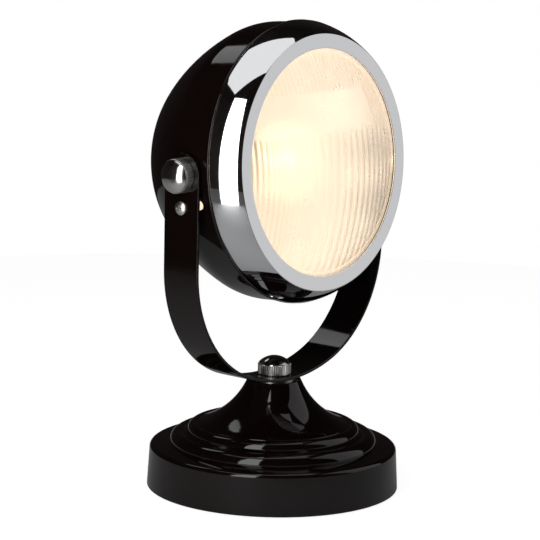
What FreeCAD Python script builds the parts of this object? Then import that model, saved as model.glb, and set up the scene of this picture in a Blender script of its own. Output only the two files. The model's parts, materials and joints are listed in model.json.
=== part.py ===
import FreeCAD, Part
import os
import re

import Sketcher
from FreeCAD import Placement, Rotation, Vector

# Tabletop searchlight lamp: a spun drum head with a domed lens, tilting in a strip-steel yoke that
# turns on a weighted, stepped base. Millimetres. The origin is the centre of the underside, +Z is up,
# the head faces -Y and its tilt axis lies along X.
# Each round piece is drawn as (radius, height) in its own frame and spun about that frame's Z axis.
# The head's own frame has Z forward along the lens axis, Y up and its origin on the tilt axis.

SIZES = {
    # Stance
    "pivot_height": 196.0,
    "rest_tilt": 4.3,
    "tilt_up": 45.0,
    "tilt_down": 30.0,
    # Base: spun sheet shell, rim, two beads, and a neck that flares down like a trumpet
    "base_wall": 1.2,
    "base_radius": 75.0,
    "base_lift": 0.8,
    "rim_draft": 1.3,
    "rim_height": 23.2,
    "rim_round": 2.5,
    "land_rise": 1.5,
    "land_width": 9.4,
    "bead_drop": 5.8,
    "bead_width": 7.6,
    "bead_round": 6.0,
    "groove_width": 3.0,
    "groove_rise": 1.3,
    "small_bead_width": 6.2,
    "small_bead_rise": 3.8,
    "small_bead_round": 4.4,
    "flare_foot_rise": 0.4,
    "flare_round": 48.1,
    "neck_radius": 15.9,
    "neck_height": 65.4,
    # Inside the base
    "pad_inset": 3.0,
    "pad_thickness": 2.0,
    "plate_gap": 0.25,
    "plate_thickness": 1.2,
    "plate_screw_count": 3,
    "plate_screw_pitch": 48.0,
    "plate_screw_radius": 1.5,
    "plate_screw_head": 2.8,
    "plate_screw_length": 10.0,
    "weight_gap": 1.7,
    "weight_thickness": 18.6,
    "weight_chamfer": 2.0,
    "bolt_flats": 10.0,
    "bolt_head_height": 4.0,
    "bolt_recess_radius": 7.0,
    "locknut_height": 5.0,
    "bolt_washer_radius": 9.0,
    "bolt_washer_thickness": 1.4,
    "bush_radius": 6.5,
    "neck_washer_radius": 12.5,
    "neck_washer_thickness": 0.75,
    # Yoke: strip steel bent to a U, round-ended arms
    "arm_clearance": 2.0,
    "yoke_thickness": 1.8,
    "yoke_width": 25.4,
    "bend_radius": 71.5,
    "bend_turn": 71.0,
    "arm_trim": 1.0,
    # Studs, washers and the three like knobs
    "stud_radius": 3.0,
    "running_gap": 0.06,
    "face_gap": 0.05,
    "washer_radius": 8.4,
    "washer_thickness": 0.8,
    "knob_radius": 9.9,
    "knob_grip": 6.2,
    "knob_edge": 0.5,
    "knob_dome": 4.1,
    "knob_recess_gap": 0.2,
    "knob_lift": 0.15,
    "knob_bore_depth": 7.0,
    "stud_reach": 6.0,
    "belly_lift": 0.4,
    # Head shell: a drum with a shouldered, domed back
    "head_radius": 81.6,
    "head_wall": 1.2,
    "mouth_depth": 17.6,
    "mouth_bead": 1.05,
    "shoulder_round": 33.0,
    "shoulder_turn": 22.0,
    "back_round": 132.0,
    "back_turn": 41.0,
    "crown_flat": 12.66,
    # Tilt pivots in the head
    "spacer_radius": 8.0,
    "cheek_depth": 4.0,
    "stud_head_radius": 6.5,
    "stud_head_height": 3.0,
    "saddle_radius": 8.0,
    "saddle_thickness": 1.2,
    # Tilt stop: a screw in the near arm that rides in an arc slot of the head
    "slot_radius": 18.7,
    "slot_half_width": 2.8,
    "stop_radius": 2.0,
    "stop_gap": 0.1,
    "stop_reach": 6.1,
    "stop_head_radius": 3.9,
    "stop_head_edge": 0.8,
    "stop_head_height": 2.4,
    # Bezel: chromed ring, pushed into the head's mouth on a sprung collar
    "seam_gap": 0.25,
    "bezel_wall": 1.0,
    "bezel_proud": 0.9,
    "bezel_edge_round": 0.6,
    "bezel_front": 35.3,
    "bezel_slope": 7.2,
    "bezel_face_width": 8.4,
    "bezel_round": 50.0,
    "collar_gap": 0.3,
    "collar_wall": 1.0,
    "collar_front": 22.0,
    "collar_back": 11.5,
    "spring_count": 3,
    "spring_wall": 0.5,
    "spring_turn": 12.0,
    "spring_back": 3.0,
    "spring_front": 15.0,
    # Lens and what holds it
    "gasket_thickness": 0.8,
    "gasket_set": 0.4,
    "lens_lap": 4.0,
    "lens_gap": 0.8,
    "lens_thickness": 3.0,
    "lens_rise": 16.0,
    "lens_taper": 1.7,
    "retainer_lap": 6.0,
    "retainer_reach": 1.3,
    "retainer_thickness": 1.0,
    # Lamp holder, on a threaded nipple through the back of the head
    "nipple_radius": 5.0,
    "nipple_bore": 3.5,
    "nipple_front": 54.0,
    "nipple_tail": 10.0,
    "nipple_end_gap": 0.5,
    "nipple_washer_radius": 10.0,
    "nipple_washer_thickness": 1.0,
    "nipple_nut_flats": 14.0,
    "nipple_nut_height": 3.0,
    "holder_radius": 12.5,
    "holder_bore": 8.1,
    "holder_front": 22.0,
    "holder_floor": 51.0,
    "holder_back": 58.0,
    "sleeve_radius": 8.0,
    "sleeve_wall": 0.6,
    "sleeve_front": 22.6,
    "sleeve_back": 47.0,
    "sleeve_flange_bore": 4.2,
    "contact_radius": 7.6,
    "contact_plate": 0.8,
    "contact_pin_radius": 1.6,
    "contact_gap": 0.1,
    "terminal_count": 2,
    "terminal_pitch": 18.0,
    "terminal_radius": 2.4,
    "terminal_height": 2.2,
    "gland_radius": 9.0,
    "gland_neck_radius": 7.2,
    "gland_length": 13.0,
    "gland_shoulder": 7.0,
    "gland_bore": 3.6,
    "gland_cap_radius": 8.2,
    "gland_cap_length": 9.0,
    "gland_cap_round": 2.0,
    # Bulb: a small screw-cap globe
    "bulb_radius": 22.5,
    "bulb_tip": 26.5,
    "bulb_wall": 0.6,
    "bulb_waist_turn": 43.5,
    "bulb_neck_radius": 6.45,
    "bulb_neck_top": 23.6,
    "bulb_neck_end": 29.0,
    "cap_radius": 6.95,
    "cap_wall": 0.35,
    "cap_top": 24.2,
    "cap_bottom": 43.0,
    "cap_cone": 1.6,
    "cap_mouth": 4.6,
    "insulator_gap": 0.1,
    "insulator_top": 42.0,
    "insulator_bottom": 46.2,
    "tip_radius": 2.4,
    "tip_height": 1.4,
    "tip_pin_radius": 1.1,
    "stem_top": 12.0,
    "stem_radius": 2.2,
    "filament_wire": 0.5,
    "filament_foot": 1.6,
    "filament_half_span": 8.0,
    "filament_front": 2.3,
}

doc = FreeCAD.newDocument("searchlight_lamp")
sheet = doc.addObject("Spreadsheet::Sheet", "sizes")
for row, (alias, amount) in enumerate(SIZES.items(), 1):
    sheet.set(f"A{row}", alias)
    sheet.set(f"B{row}", str(amount))
    sheet.setAlias(f"B{row}", alias)
doc.recompute()

pieces = []


def in_sheet(words):
    """The formula with each size's name pointing at its cell."""
    return re.sub(r"[a-z_]+", lambda word: "sizes." + word[0] if word[0] in SIZES else word[0], words)


def value(words):
    """The formula's value now."""
    return FreeCAD.Units.Quantity(sheet.evalExpression(in_sheet(words))).Value


def bind(thing, path, words):
    """Ties a property to the formula."""
    thing.setExpression(path, in_sheet(words))


# Frames: where a piece's own Z axis starts and which way it points.


def stand(thing, height="0"):
    """Upright on the lamp's own axis, at the height."""
    bind(thing, "Placement.Base.z", height)


def aim_forward(thing):
    """In the head's frame, tilted as the head rests."""
    thing.Placement = Placement(Vector(), Rotation(Vector(1, 0, 0), value("90 - rest_tilt")))
    bind(thing, "Placement.Base.z", "pivot_height")
    bind(thing, "Placement.Rotation.Angle", "90 - rest_tilt")


def aim_sideways(thing, side, out="0", height="pivot_height"):
    """Z pointing out along X on one side, from the distance out, at the height."""
    thing.Placement = Placement(Vector(), Rotation(Vector(0, 1, 0), 90 * side))
    bind(thing, "Placement.Base.x", f"{side} * ({out})")
    bind(thing, "Placement.Base.z", height)


# Ways of making a piece.


def new_piece(label):
    """An empty body that is written out under its label."""
    body = doc.addObject("PartDesign::Body", label)
    body.Label = label
    body.AllowCompound = True
    pieces.append(body)
    return body


def new_sketch(body, plane, lift="0"):
    """A sketch on one of the body's own planes, lifted off it by the formula."""
    sketch = body.newObject("Sketcher::SketchObject", "Sketch")
    support = [feature for feature in body.Origin.OriginFeatures if feature.Role == plane]
    sketch.AttachmentSupport = (support[0], [""])
    sketch.MapMode = "FlatFace"
    if lift != "0":
        bind(sketch, "AttachmentOffset.Base.z", lift)
    return sketch


def measure(sketch, kind, target, words):
    """One driving dimension of a sketch, tied to its formula."""
    number = sketch.addConstraint(Sketcher.Constraint(kind, *target, value(words)))
    bind(sketch, f"Constraints[{number}]", words)


def pin_down(sketch, line, end, across, along):
    """Holds one end of a line by its distances from the sketch's axes, or on them."""
    for words, kind, axis in ((across, "DistanceX", -2), (along, "DistanceY", -1)):
        if words == "0":
            sketch.addConstraint(Sketcher.Constraint("PointOnObject", line, end, axis))
        else:
            measure(sketch, kind, (-1, 1, line, end), words)


def draw_outline(sketch, corners):
    """A closed line through the corners, given as formulas across and along.

    A third entry makes the side that ends at this corner an arc of that radius, and a fourth says
    which way it turns: +1 to the left of the way the outline runs, -1 to the right.
    """
    points = [Vector(value(corner[0]), value(corner[1]), 0) for corner in corners]
    first = sketch.GeometryCount
    ends = []
    for number, corner in enumerate(corners):
        start, end = points[number - 1], points[number]
        if len(corner) == 2:
            sketch.addGeometry(Part.LineSegment(start, end))
            ends.append((1, 2))
            continue
        turn = corner[3]
        chord = end - start
        radius = value(corner[2])
        depth = max(radius ** 2 - (chord.Length / 2) ** 2, 0) ** 0.5
        square = Vector(-chord.y, chord.x, 0).normalize() * turn
        centre = (start + end) / 2 + square * depth
        middle = centre - square * radius
        sketch.addGeometry(Part.Arc(start, middle, end))
        ends.append((1, 2) if turn > 0 else (2, 1))
    for number, corner in enumerate(corners):
        following = (number + 1) % len(corners)
        joint = (first + number, ends[number][1], first + following, ends[following][0])
        sketch.addConstraint(Sketcher.Constraint("Coincident", *joint))
        pin_down(sketch, first + number, ends[number][1], corner[0], corner[1])
        if len(corner) == 4:
            measure(sketch, "Radius", (first + number,), corner[2])


def draw_circle(sketch, radius, across="0", along="0"):
    """A circle, its centre and radius given as formulas."""
    centre = Vector(value(across), value(along), 0)
    circle = sketch.addGeometry(Part.Circle(centre, Vector(0, 0, 1), value(radius)))
    if across == along == "0":
        sketch.addConstraint(Sketcher.Constraint("Coincident", circle, 3, -1, 1))
    else:
        pin_down(sketch, circle, 3, across, along)
    measure(sketch, "Radius", (circle,), radius)


def spin(body, corners, turn="360", plane="XZ_Plane"):
    """Turns an outline of (radius, height) corners about the body's Z axis, starting in the plane."""
    sketch = new_sketch(body, plane)
    draw_outline(sketch, corners)
    spun = body.newObject("PartDesign::Revolution", "Spin")
    spun.Profile = sketch
    spun.ReferenceAxis = (sketch, ["V_Axis"])
    bind(spun, "Angle", turn)
    return spun


def pad(body, sketch, length, both_ways=False):
    """Thickens a sketch."""
    padded = body.newObject("PartDesign::Pad", "Pad")
    padded.Profile = sketch
    padded.SideType = "Symmetric" if both_ways else "One side"
    bind(padded, "Length", length)
    return padded


def pocket(body, sketch, both_ways=True, reverse=False):
    """Cuts a sketch right through the body, and checks that it took something away."""
    before = body.Tip.Shape.Volume
    cut = body.newObject("PartDesign::Pocket", "Pocket")
    cut.Profile = sketch
    cut.Type = "ThroughAll"
    cut.SideType = "Symmetric" if both_ways else "One side"
    cut.Reversed = reverse
    doc.recompute()
    if not cut.Shape.Volume < before:
        raise ValueError(f"{body.Label}: a pocket cut nothing")
    return cut


def ring_of(body, feature, count):
    """Repeats a feature evenly round the body's Z axis."""
    ring = body.newObject("PartDesign::PolarPattern", "Ring")
    ring.Originals = [feature]
    ring.Axis = (feature.Profile[0], ["V_Axis"])
    bind(ring, "Occurrences", count)
    body.Tip = ring
    return ring


def ring_or_tube(label, inner, outer, low, high):
    """A plain spun washer, bush or tube."""
    body = new_piece(label)
    spin(body, [(inner, low), (outer, low), (outer, high), (inner, high)])
    return body


def hexagon(flats):
    """Corners of a hexagon, from its width across flats."""
    half, point = f"{flats} / 2", f"{flats} / sqrt(3)"
    return [(point, "0"), (f"{point} / 2", half), (f"-{point} / 2", half),
            (f"-{point}", "0"), (f"-{point} / 2", f"-{half}"), (f"{point} / 2", f"-{half}")]


def hex_nut(label, flats, bore, low, height):
    """A plain hexagon nut, lying flat."""
    body = new_piece(label)
    sketch = new_sketch(body, "XY_Plane", low)
    draw_outline(sketch, hexagon(flats))
    draw_circle(sketch, bore)
    pad(body, sketch, height)
    return body


# Base shell. The inner face repeats the outer one, a wall's thickness in and down.

rim_radius = "(base_radius - rim_draft)"
bead_foot = (f"{rim_radius} - rim_round - land_width", "rim_height + rim_round + land_rise")
bead_top = (f"{bead_foot[0]} - bead_width", f"{bead_foot[1]} + bead_drop")
groove = (f"{bead_top[0]} - groove_width", f"{bead_top[1]} + groove_rise")
flare_foot = (f"{groove[0]} - small_bead_width", f"{groove[1]} + small_bead_rise")
flare_start = (f"{flare_foot[0]}", f"{flare_foot[1]} + flare_foot_rise")


def inside(corner):
    """The corner moved in and down by the base shell's wall."""
    return (f"{corner[0]} - base_wall", f"{corner[1]} - base_wall")


base_shell = new_piece("base_shell")
spin(base_shell, [
    ("base_radius", "base_lift"),
    (rim_radius, "rim_height"),
    (f"{rim_radius} - rim_round", "rim_height + rim_round", "rim_round", 1),
    bead_foot,
    (*bead_top, "bead_round", 1),
    groove,
    (*flare_foot, "small_bead_round", 1),
    flare_start,
    ("neck_radius", "neck_height", "flare_round", -1),
    ("stud_radius + running_gap", "neck_height"),
    ("stud_radius + running_gap", "neck_height - base_wall"),
    ("neck_radius - base_wall", "neck_height - base_wall"),
    (*inside(flare_foot), "flare_round", 1),
    inside(bead_top),
    inside(bead_foot),
    (f"{rim_radius} - rim_round - base_wall", "rim_height + rim_round - base_wall"),
    (f"{rim_radius} - base_wall", "rim_height - base_wall"),
    ("base_radius - base_wall", "base_lift"),
])

# Felt-faced pad, closing plate and its three countersunk screws.

pad_radius = "base_radius - pad_inset"
foot_pad = new_piece("foot_pad")
spin(foot_pad, [("0", "0"), (pad_radius, "0"), (pad_radius, "pad_thickness"), ("0", "pad_thickness")])

plate_low = "pad_thickness"
plate_top = "pad_thickness + plate_thickness"
shell_lean = "rim_draft / (rim_height - base_lift)"
plate_radius = f"base_radius - base_wall - plate_gap - {shell_lean} * ({plate_top} - base_lift)"

base_plate = new_piece("base_plate")
sketch = new_sketch(base_plate, "XY_Plane", plate_low)
draw_circle(sketch, plate_radius)
pad(base_plate, sketch, "plate_thickness")
doc.recompute()


def screw_outline(shank, head):
    """Half of a countersunk screw, head down, from its own axis outwards."""
    return [
        (head, plate_low),
        (shank, plate_top),
        (shank, f"{plate_low} + plate_screw_length"),
        ("0", f"{plate_low} + plate_screw_length"),
        ("0", plate_low),
    ]


def turned_ring(body, kind, pitch, corners, count):
    """Spins an outline about an upright axis at the pitch radius, and repeats it round the body's Z."""
    sketch = new_sketch(body, "XZ_Plane")
    draw_outline(sketch, [(f"{pitch} + {corner[0]}", corner[1]) for corner in corners])
    low = Vector(value(pitch), 0, 0)
    axis = sketch.addGeometry(Part.LineSegment(low, low + Vector(0, 1, 0)), True)
    sketch.addConstraint(Sketcher.Constraint("Vertical", axis))
    sketch.addConstraint(Sketcher.Constraint("Distance", axis, 1.0))
    pin_down(sketch, axis, 1, pitch, "0")
    turned = body.newObject(kind, "Turned")
    turned.Profile = sketch
    turned.ReferenceAxis = (sketch, ["Axis0"])
    turned.Angle = 360
    doc.recompute()
    ring_of(body, turned, count)


screw_hole = "plate_screw_radius + running_gap"
turned_ring(base_plate, "PartDesign::Groove", "plate_screw_pitch",
            screw_outline(screw_hole, "plate_screw_head + running_gap"), "plate_screw_count")
plate_screws = new_piece("plate_screws")
turned_ring(plate_screws, "PartDesign::Revolution", "plate_screw_pitch",
            screw_outline("plate_screw_radius", "plate_screw_head"), "plate_screw_count")

# Cast weight, bored for the bolt, with a pocket for its head.

weight_top = f"{plate_top} + weight_thickness"
recess_top = f"{plate_top} + bolt_head_height"
weight_radius = f"{rim_radius} - base_wall - weight_gap"
base_weight = new_piece("base_weight")
spin(base_weight, [
    ("bolt_recess_radius", plate_top),
    (weight_radius, plate_top),
    (weight_radius, f"{weight_top} - weight_chamfer"),
    (f"{weight_radius} - weight_chamfer", weight_top),
    ("stud_radius + running_gap", weight_top),
    ("stud_radius + running_gap", recess_top),
    ("bolt_recess_radius", recess_top),
])
turned_ring(base_weight, "PartDesign::Groove", "plate_screw_pitch",
            screw_outline(screw_hole, screw_hole), "plate_screw_count")

# Bolt up the middle, its washer and nut, the bush that props the neck, and the neck's washer.

yoke_floor = "(neck_height + neck_washer_thickness + face_gap + yoke_thickness / 2)"
yoke_seat = f"({yoke_floor} + yoke_thickness / 2 + belly_lift)"

base_bolt = new_piece("base_bolt")
sketch = new_sketch(base_bolt, "XY_Plane", plate_top)
draw_outline(sketch, hexagon("bolt_flats"))
pad(base_bolt, sketch, "bolt_head_height")
sketch = new_sketch(base_bolt, "XY_Plane", plate_top)
draw_circle(sketch, "stud_radius")
pad(base_bolt, sketch, f"{yoke_seat} + stud_reach - ({plate_top})")

washer_top = f"{weight_top} + bolt_washer_thickness"
nut_top = f"{washer_top} + locknut_height"
stud_bore = "stud_radius + running_gap"
ring_or_tube("bolt_washer", stud_bore, "bolt_washer_radius", weight_top, washer_top)
hex_nut("bolt_nut", "bolt_flats", stud_bore, washer_top, "locknut_height")
ring_or_tube("neck_bush", stud_bore, "bush_radius", nut_top, "neck_height - base_wall")
ring_or_tube("neck_washer", stud_bore, "neck_washer_radius", "neck_height",
             "neck_height + neck_washer_thickness")

# Yoke. One strip: two upright arms, a main bend on each side and a flatter belly that touches both.

half_span = "(head_radius + arm_clearance + yoke_thickness / 2)"
belly_radius = f"(bend_radius + ({half_span} - bend_radius) / cos(bend_turn))"
bend_height = f"({yoke_floor} + bend_radius * sin(bend_turn) + {belly_radius} * (1 - sin(bend_turn)))"
arm_end = "pivot_height + yoke_width / 2"


def yoke_face(offset):
    """Corners and radii down one face of the strip and up again, left arm to right arm."""
    bend, belly = f"bend_radius + {offset}", f"{belly_radius} + {offset}"
    reach = f"{half_span} + {offset}"
    tangent_out = f"{half_span} - bend_radius + ({bend}) * cos(bend_turn)"
    tangent_height = f"{bend_height} - ({bend}) * sin(bend_turn)"
    return [
        (f"-({reach})", f"{arm_end} + arm_trim"),
        (f"-({reach})", bend_height),
        (f"-({tangent_out})", tangent_height, bend, 1),
        (tangent_out, tangent_height, belly, 1),
        (reach, bend_height, bend, 1),
        (reach, f"{arm_end} + arm_trim"),
    ]


def run_back(face):
    """The same face from right arm to left arm: each arc's radius passes to its other end."""
    corners = [corner[:2] for corner in face][::-1]
    arcs = [corner[2:] for corner in face][::-1]
    turned = [(radius, -turn) for radius, turn in (arc for arc in arcs if arc)]
    return [corners[0], corners[1], (*corners[2], *turned[0]), (*corners[3], *turned[1]),
            (*corners[4], *turned[2]), corners[5]]


yoke = new_piece("yoke")
sketch = new_sketch(yoke, "XZ_Plane")
draw_outline(sketch, yoke_face("yoke_thickness / 2") + run_back(yoke_face("-yoke_thickness / 2")))
pad(yoke, sketch, "yoke_width", both_ways=True)
doc.recompute()

sketch = new_sketch(yoke, "YZ_Plane")
draw_outline(sketch, [
    ("-yoke_width / 2 - arm_trim", "pivot_height"),
    ("-yoke_width / 2", "pivot_height"),
    ("0", arm_end, "yoke_width / 2", -1),
    ("yoke_width / 2", "pivot_height", "yoke_width / 2", -1),
    ("yoke_width / 2 + arm_trim", "pivot_height"),
    ("yoke_width / 2 + arm_trim", f"{arm_end} + arm_trim * 2"),
    ("-yoke_width / 2 - arm_trim", f"{arm_end} + arm_trim * 2"),
])
pocket(yoke, sketch)
sketch = new_sketch(yoke, "YZ_Plane")
draw_circle(sketch, stud_bore, "0", "pivot_height")
pocket(yoke, sketch)
sketch = new_sketch(yoke, "YZ_Plane")
draw_circle(sketch, "stop_radius + running_gap", "0", "pivot_height - slot_radius")
pocket(yoke, sketch, both_ways=False)
sketch = new_sketch(yoke, "XY_Plane")
draw_circle(sketch, stud_bore)
pocket(yoke, sketch)

arm_face = f"({half_span} + yoke_thickness / 2)"
stop_tip = "head_radius - stop_reach"
stop_screw = new_piece("stop_screw")
spin(stop_screw, [
    ("0", stop_tip),
    ("stop_radius", stop_tip),
    ("stop_radius", arm_face),
    ("stop_head_radius", arm_face),
    ("stop_head_radius", f"{arm_face} + stop_head_edge"),
    ("0", f"{arm_face} + stop_head_height",
     "(stop_head_radius ^ 2 + (stop_head_height - stop_head_edge) ^ 2)"
     " / (2 * (stop_head_height - stop_head_edge))", 1),
])
aim_sideways(stop_screw, -1, height="pivot_height - slot_radius")

# The three knobs and their washers, drawn from the face they clamp.


def knob_outline():
    """A turned knob: straight grip, broken edge and low dome, bored and recessed below."""
    recess = "face_gap + washer_thickness"
    grip_top, edge = "knob_lift + knob_grip", "knob_radius - knob_edge"
    dome = f"(({edge}) ^ 2 + knob_dome ^ 2) / (2 * knob_dome)"
    return [
        (stud_bore, recess),
        ("washer_radius + knob_recess_gap", recess),
        ("washer_radius + knob_recess_gap", "knob_lift"),
        ("knob_radius", "knob_lift"),
        ("knob_radius", grip_top),
        (edge, f"{grip_top} + knob_edge"),
        ("0", f"{grip_top} + knob_edge + knob_dome", dome, 1),
        ("0", "knob_bore_depth"),
        (stud_bore, "knob_bore_depth"),
    ]


def clamp_set(knob_label, washer_label, place):
    """One knob with its washer, put where the place function says."""
    knob = new_piece(knob_label)
    spin(knob, knob_outline())
    washer = ring_or_tube(washer_label, stud_bore, "washer_radius", "face_gap",
                          "face_gap + washer_thickness")
    place(knob)
    place(washer)


clamp_set("base_knob", "base_knob_washer", lambda thing: stand(thing, yoke_seat))
for side, name in ((-1, "left"), (1, "right")):
    clamp_set(f"tilt_knob_{name}", f"tilt_washer_{name}",
              lambda thing, side=side: aim_sideways(thing, side, arm_face))

# Head shell. Three arcs that touch each other run from the drum to the flat of the crown.

shoulder = ("head_radius - shoulder_round * (1 - cos(shoulder_turn))",
            "-shoulder_round * sin(shoulder_turn)")
back = (f"{shoulder[0]} - back_round * (cos(shoulder_turn) - cos(back_turn))",
        f"{shoulder[1]} - back_round * (sin(back_turn) - sin(shoulder_turn))")
crown_round = f"(({back[0]} - crown_flat) / cos(back_turn))"
crown = ("crown_flat", f"{back[1]} - {crown_round} * (1 - sin(back_turn))")
head_inner = "head_radius - head_wall"
shell_back = f"({crown[1]})"

head_shell = new_piece("head_shell")
spin(head_shell, [
    ("nipple_radius + running_gap", crown[1]),
    crown,
    (*back, crown_round, 1),
    (*shoulder, "back_round", 1),
    ("head_radius", "0", "shoulder_round", 1),
    ("head_radius", "mouth_depth - mouth_bead * 2"),
    ("head_radius + mouth_bead", "mouth_depth - mouth_bead", "mouth_bead", 1),
    ("head_radius", "mouth_depth", "mouth_bead", 1),
    (head_inner, "mouth_depth"),
    (head_inner, "0"),
    (f"{shoulder[0]} - head_wall * cos(shoulder_turn)",
     f"{shoulder[1]} + head_wall * sin(shoulder_turn)", "shoulder_round - head_wall", -1),
    (f"{back[0]} - head_wall * cos(back_turn)",
     f"{back[1]} + head_wall * sin(back_turn)", "back_round - head_wall", -1),
    (crown[0], f"{crown[1]} + head_wall", f"{crown_round} - head_wall", -1),
    ("nipple_radius + running_gap", f"{crown[1]} + head_wall"),
])
aim_forward(head_shell)
doc.recompute()

sketch = new_sketch(head_shell, "YZ_Plane")
draw_circle(sketch, stud_bore)
pocket(head_shell, sketch)

# Stop slot, in the near side only. It ends where the screw stands at each end of the tilt.

slot_slack = "(slot_half_width - stop_radius - stop_gap) / slot_radius * 180 / pi"
slot_front = f"(tilt_down - rest_tilt - {slot_slack})"
slot_rear = f"(-tilt_up - rest_tilt + {slot_slack})"


def slot_point(reach, angle, ahead="0"):
    """A point of the slot, its angle counted forward from straight down, moved ahead along the arc."""
    return (f"-({reach}) * cos({angle}) + {ahead} * sin({angle})",
            f"({reach}) * sin({angle}) + {ahead} * cos({angle})")


slot_outer = "slot_radius + slot_half_width"
slot_inner = "slot_radius - slot_half_width"
sketch = new_sketch(head_shell, "YZ_Plane")
draw_outline(sketch, [
    (*slot_point(slot_outer, slot_front), slot_outer, -1),
    (*slot_point("slot_radius", slot_front, "slot_half_width"), "slot_half_width", -1),
    (*slot_point(slot_inner, slot_front), "slot_half_width", -1),
    (*slot_point(slot_inner, slot_rear), slot_inner, 1),
    (*slot_point("slot_radius", slot_rear, "-slot_half_width"), "slot_half_width", -1),
    (*slot_point(slot_outer, slot_rear), "slot_half_width", -1),
])
pocket(head_shell, sketch, both_ways=False)

# Tilt pivots. Outside, a spacer fills the room between drum and arm; inside, a saddle lies under
# the stud's head. Both are cut to the drum's own curve.

arm_inner = f"{half_span} - yoke_thickness / 2"
saddle_face = f"{head_inner} - saddle_thickness"


def cheek(label, side, radius, low, high, surface, far):
    """A round block on the tilt axis, cut away between the drum's surface and the far radius."""
    body = new_piece(label)
    sketch = new_sketch(body, "YZ_Plane", f"{side} * ({low})")
    draw_circle(sketch, radius)
    draw_circle(sketch, stud_bore)
    block = pad(body, sketch, f"{high} - ({low})")
    block.Reversed = side < 0
    inset = f"(head_radius - ({surface}))"
    low_point = (f"{shoulder[0]} - {inset} * cos(shoulder_turn)",
                 f"{shoulder[1]} + {inset} * sin(shoulder_turn)")
    sketch = new_sketch(body, "XZ_Plane")
    draw_outline(sketch, [
        (surface, "mouth_depth"),
        (surface, "0"),
        (*low_point, f"shoulder_round - {inset}", -1),
        (far, low_point[1]),
        (far, "mouth_depth"),
    ])
    curve = body.newObject("PartDesign::Groove", "Curve")
    curve.Profile = sketch
    curve.ReferenceAxis = (sketch, ["V_Axis"])
    curve.Angle = 360
    aim_forward(body)


for side, name in ((-1, "left"), (1, "right")):
    cheek(f"pivot_spacer_{name}", side, "spacer_radius", "head_radius - cheek_depth",
          f"{arm_inner} - face_gap", "head_radius", "head_radius - cheek_depth * 2")
    cheek(f"pivot_saddle_{name}", side, "saddle_radius", saddle_face,
          "head_radius", head_inner, "head_radius + cheek_depth")
    stud = new_piece(f"pivot_stud_{name}")
    spin(stud, [
        ("0", f"{saddle_face} - stud_head_height"),
        ("stud_head_radius", f"{saddle_face} - stud_head_height"),
        ("stud_head_radius", saddle_face),
        ("stud_radius", saddle_face),
        ("stud_radius", f"{arm_face} + stud_reach"),
        ("0", f"{arm_face} + stud_reach"),
    ])
    aim_sideways(stud, side)

# Bezel: a spun ring with a flat face, and the collar and leaf springs that grip inside the drum. The
# collar ends ahead of the stop screw's arc. The first spring is at the top, clear of the stud heads.


def head_piece(label, corners):
    """A piece spun about the lens axis."""
    body = new_piece(label)
    spin(body, corners)
    aim_forward(body)


def block_outline(inner, outer, back_face, front_face):
    """A plain rectangle, for flat rings and short tubes."""
    return [(inner, back_face), (outer, back_face), (outer, front_face), (inner, front_face)]


bezel_radius = "head_radius + bezel_proud"
bezel_back = "mouth_depth + seam_gap"
bezel_face_radius = "(head_radius - bezel_slope)"
bezel_opening = f"({bezel_face_radius} - bezel_face_width)"
head_piece("bezel_ring", [
    (f"{bezel_radius} - bezel_wall", bezel_back, "bezel_round - bezel_wall", -1),
    (f"{bezel_radius} - bezel_edge_round", bezel_back),
    (bezel_radius, f"{bezel_back} + bezel_edge_round", "bezel_edge_round", 1),
    (bezel_face_radius, "bezel_front", "bezel_round", 1),
    (bezel_opening, "bezel_front"),
    (bezel_opening, "bezel_front - bezel_wall"),
    (f"{bezel_face_radius} - bezel_wall", "bezel_front - bezel_wall"),
])
collar_outer = f"{head_inner} - collar_gap"
collar_inner = f"{collar_outer} - collar_wall"
head_piece("bezel_collar", block_outline(collar_inner, collar_outer, "collar_back", "collar_front"))

bezel_springs = new_piece("bezel_springs")
leaf = spin(bezel_springs, block_outline(f"{collar_inner} - spring_wall", collar_inner,
                                         "spring_back", "spring_front"), "spring_turn", "YZ_Plane")
doc.recompute()
ring_of(bezel_springs, leaf, "spring_count")
aim_forward(bezel_springs)

# Lens: pressed glass, domed, held by its flat edge between a rubber ring and a steel retainer.

lens_seat = "bezel_front - bezel_wall - gasket_thickness"
lens_edge = f"{bezel_opening} + lens_lap"
lens_front = f"({bezel_opening} - lens_gap)"
lens_hollow = f"({lens_front} - lens_taper)"
head_piece("lens_gasket", block_outline(f"{bezel_opening} + gasket_set", lens_edge,
                                         lens_seat, f"{lens_seat} + gasket_thickness"))
head_piece("lens", [
    (lens_hollow, f"{lens_seat} - lens_thickness",
     f"({lens_hollow} ^ 2 + lens_rise ^ 2) / (2 * lens_rise)", -1),
    (lens_edge, f"{lens_seat} - lens_thickness"),
    (lens_edge, lens_seat),
    (lens_front, lens_seat),
    ("0", f"{lens_seat} + lens_rise", f"({lens_front} ^ 2 + lens_rise ^ 2) / (2 * lens_rise)", 1),
    ("0", f"{lens_seat} + lens_rise - lens_thickness"),
])
retainer_front = f"{lens_seat} - lens_thickness"
head_piece("lens_retainer",
            block_outline(f"{lens_edge} - retainer_lap", f"{bezel_face_radius} + retainer_reach",
                          f"{retainer_front} - retainer_thickness", retainer_front))

# Lamp holder on its threaded nipple, nipple fixings inside the shell, cord gland outside it.

nipple_hole = "nipple_radius + running_gap"
shell_inside = f"{shell_back} + head_wall"
nipple_end = f"{shell_back} - nipple_tail"

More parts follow.
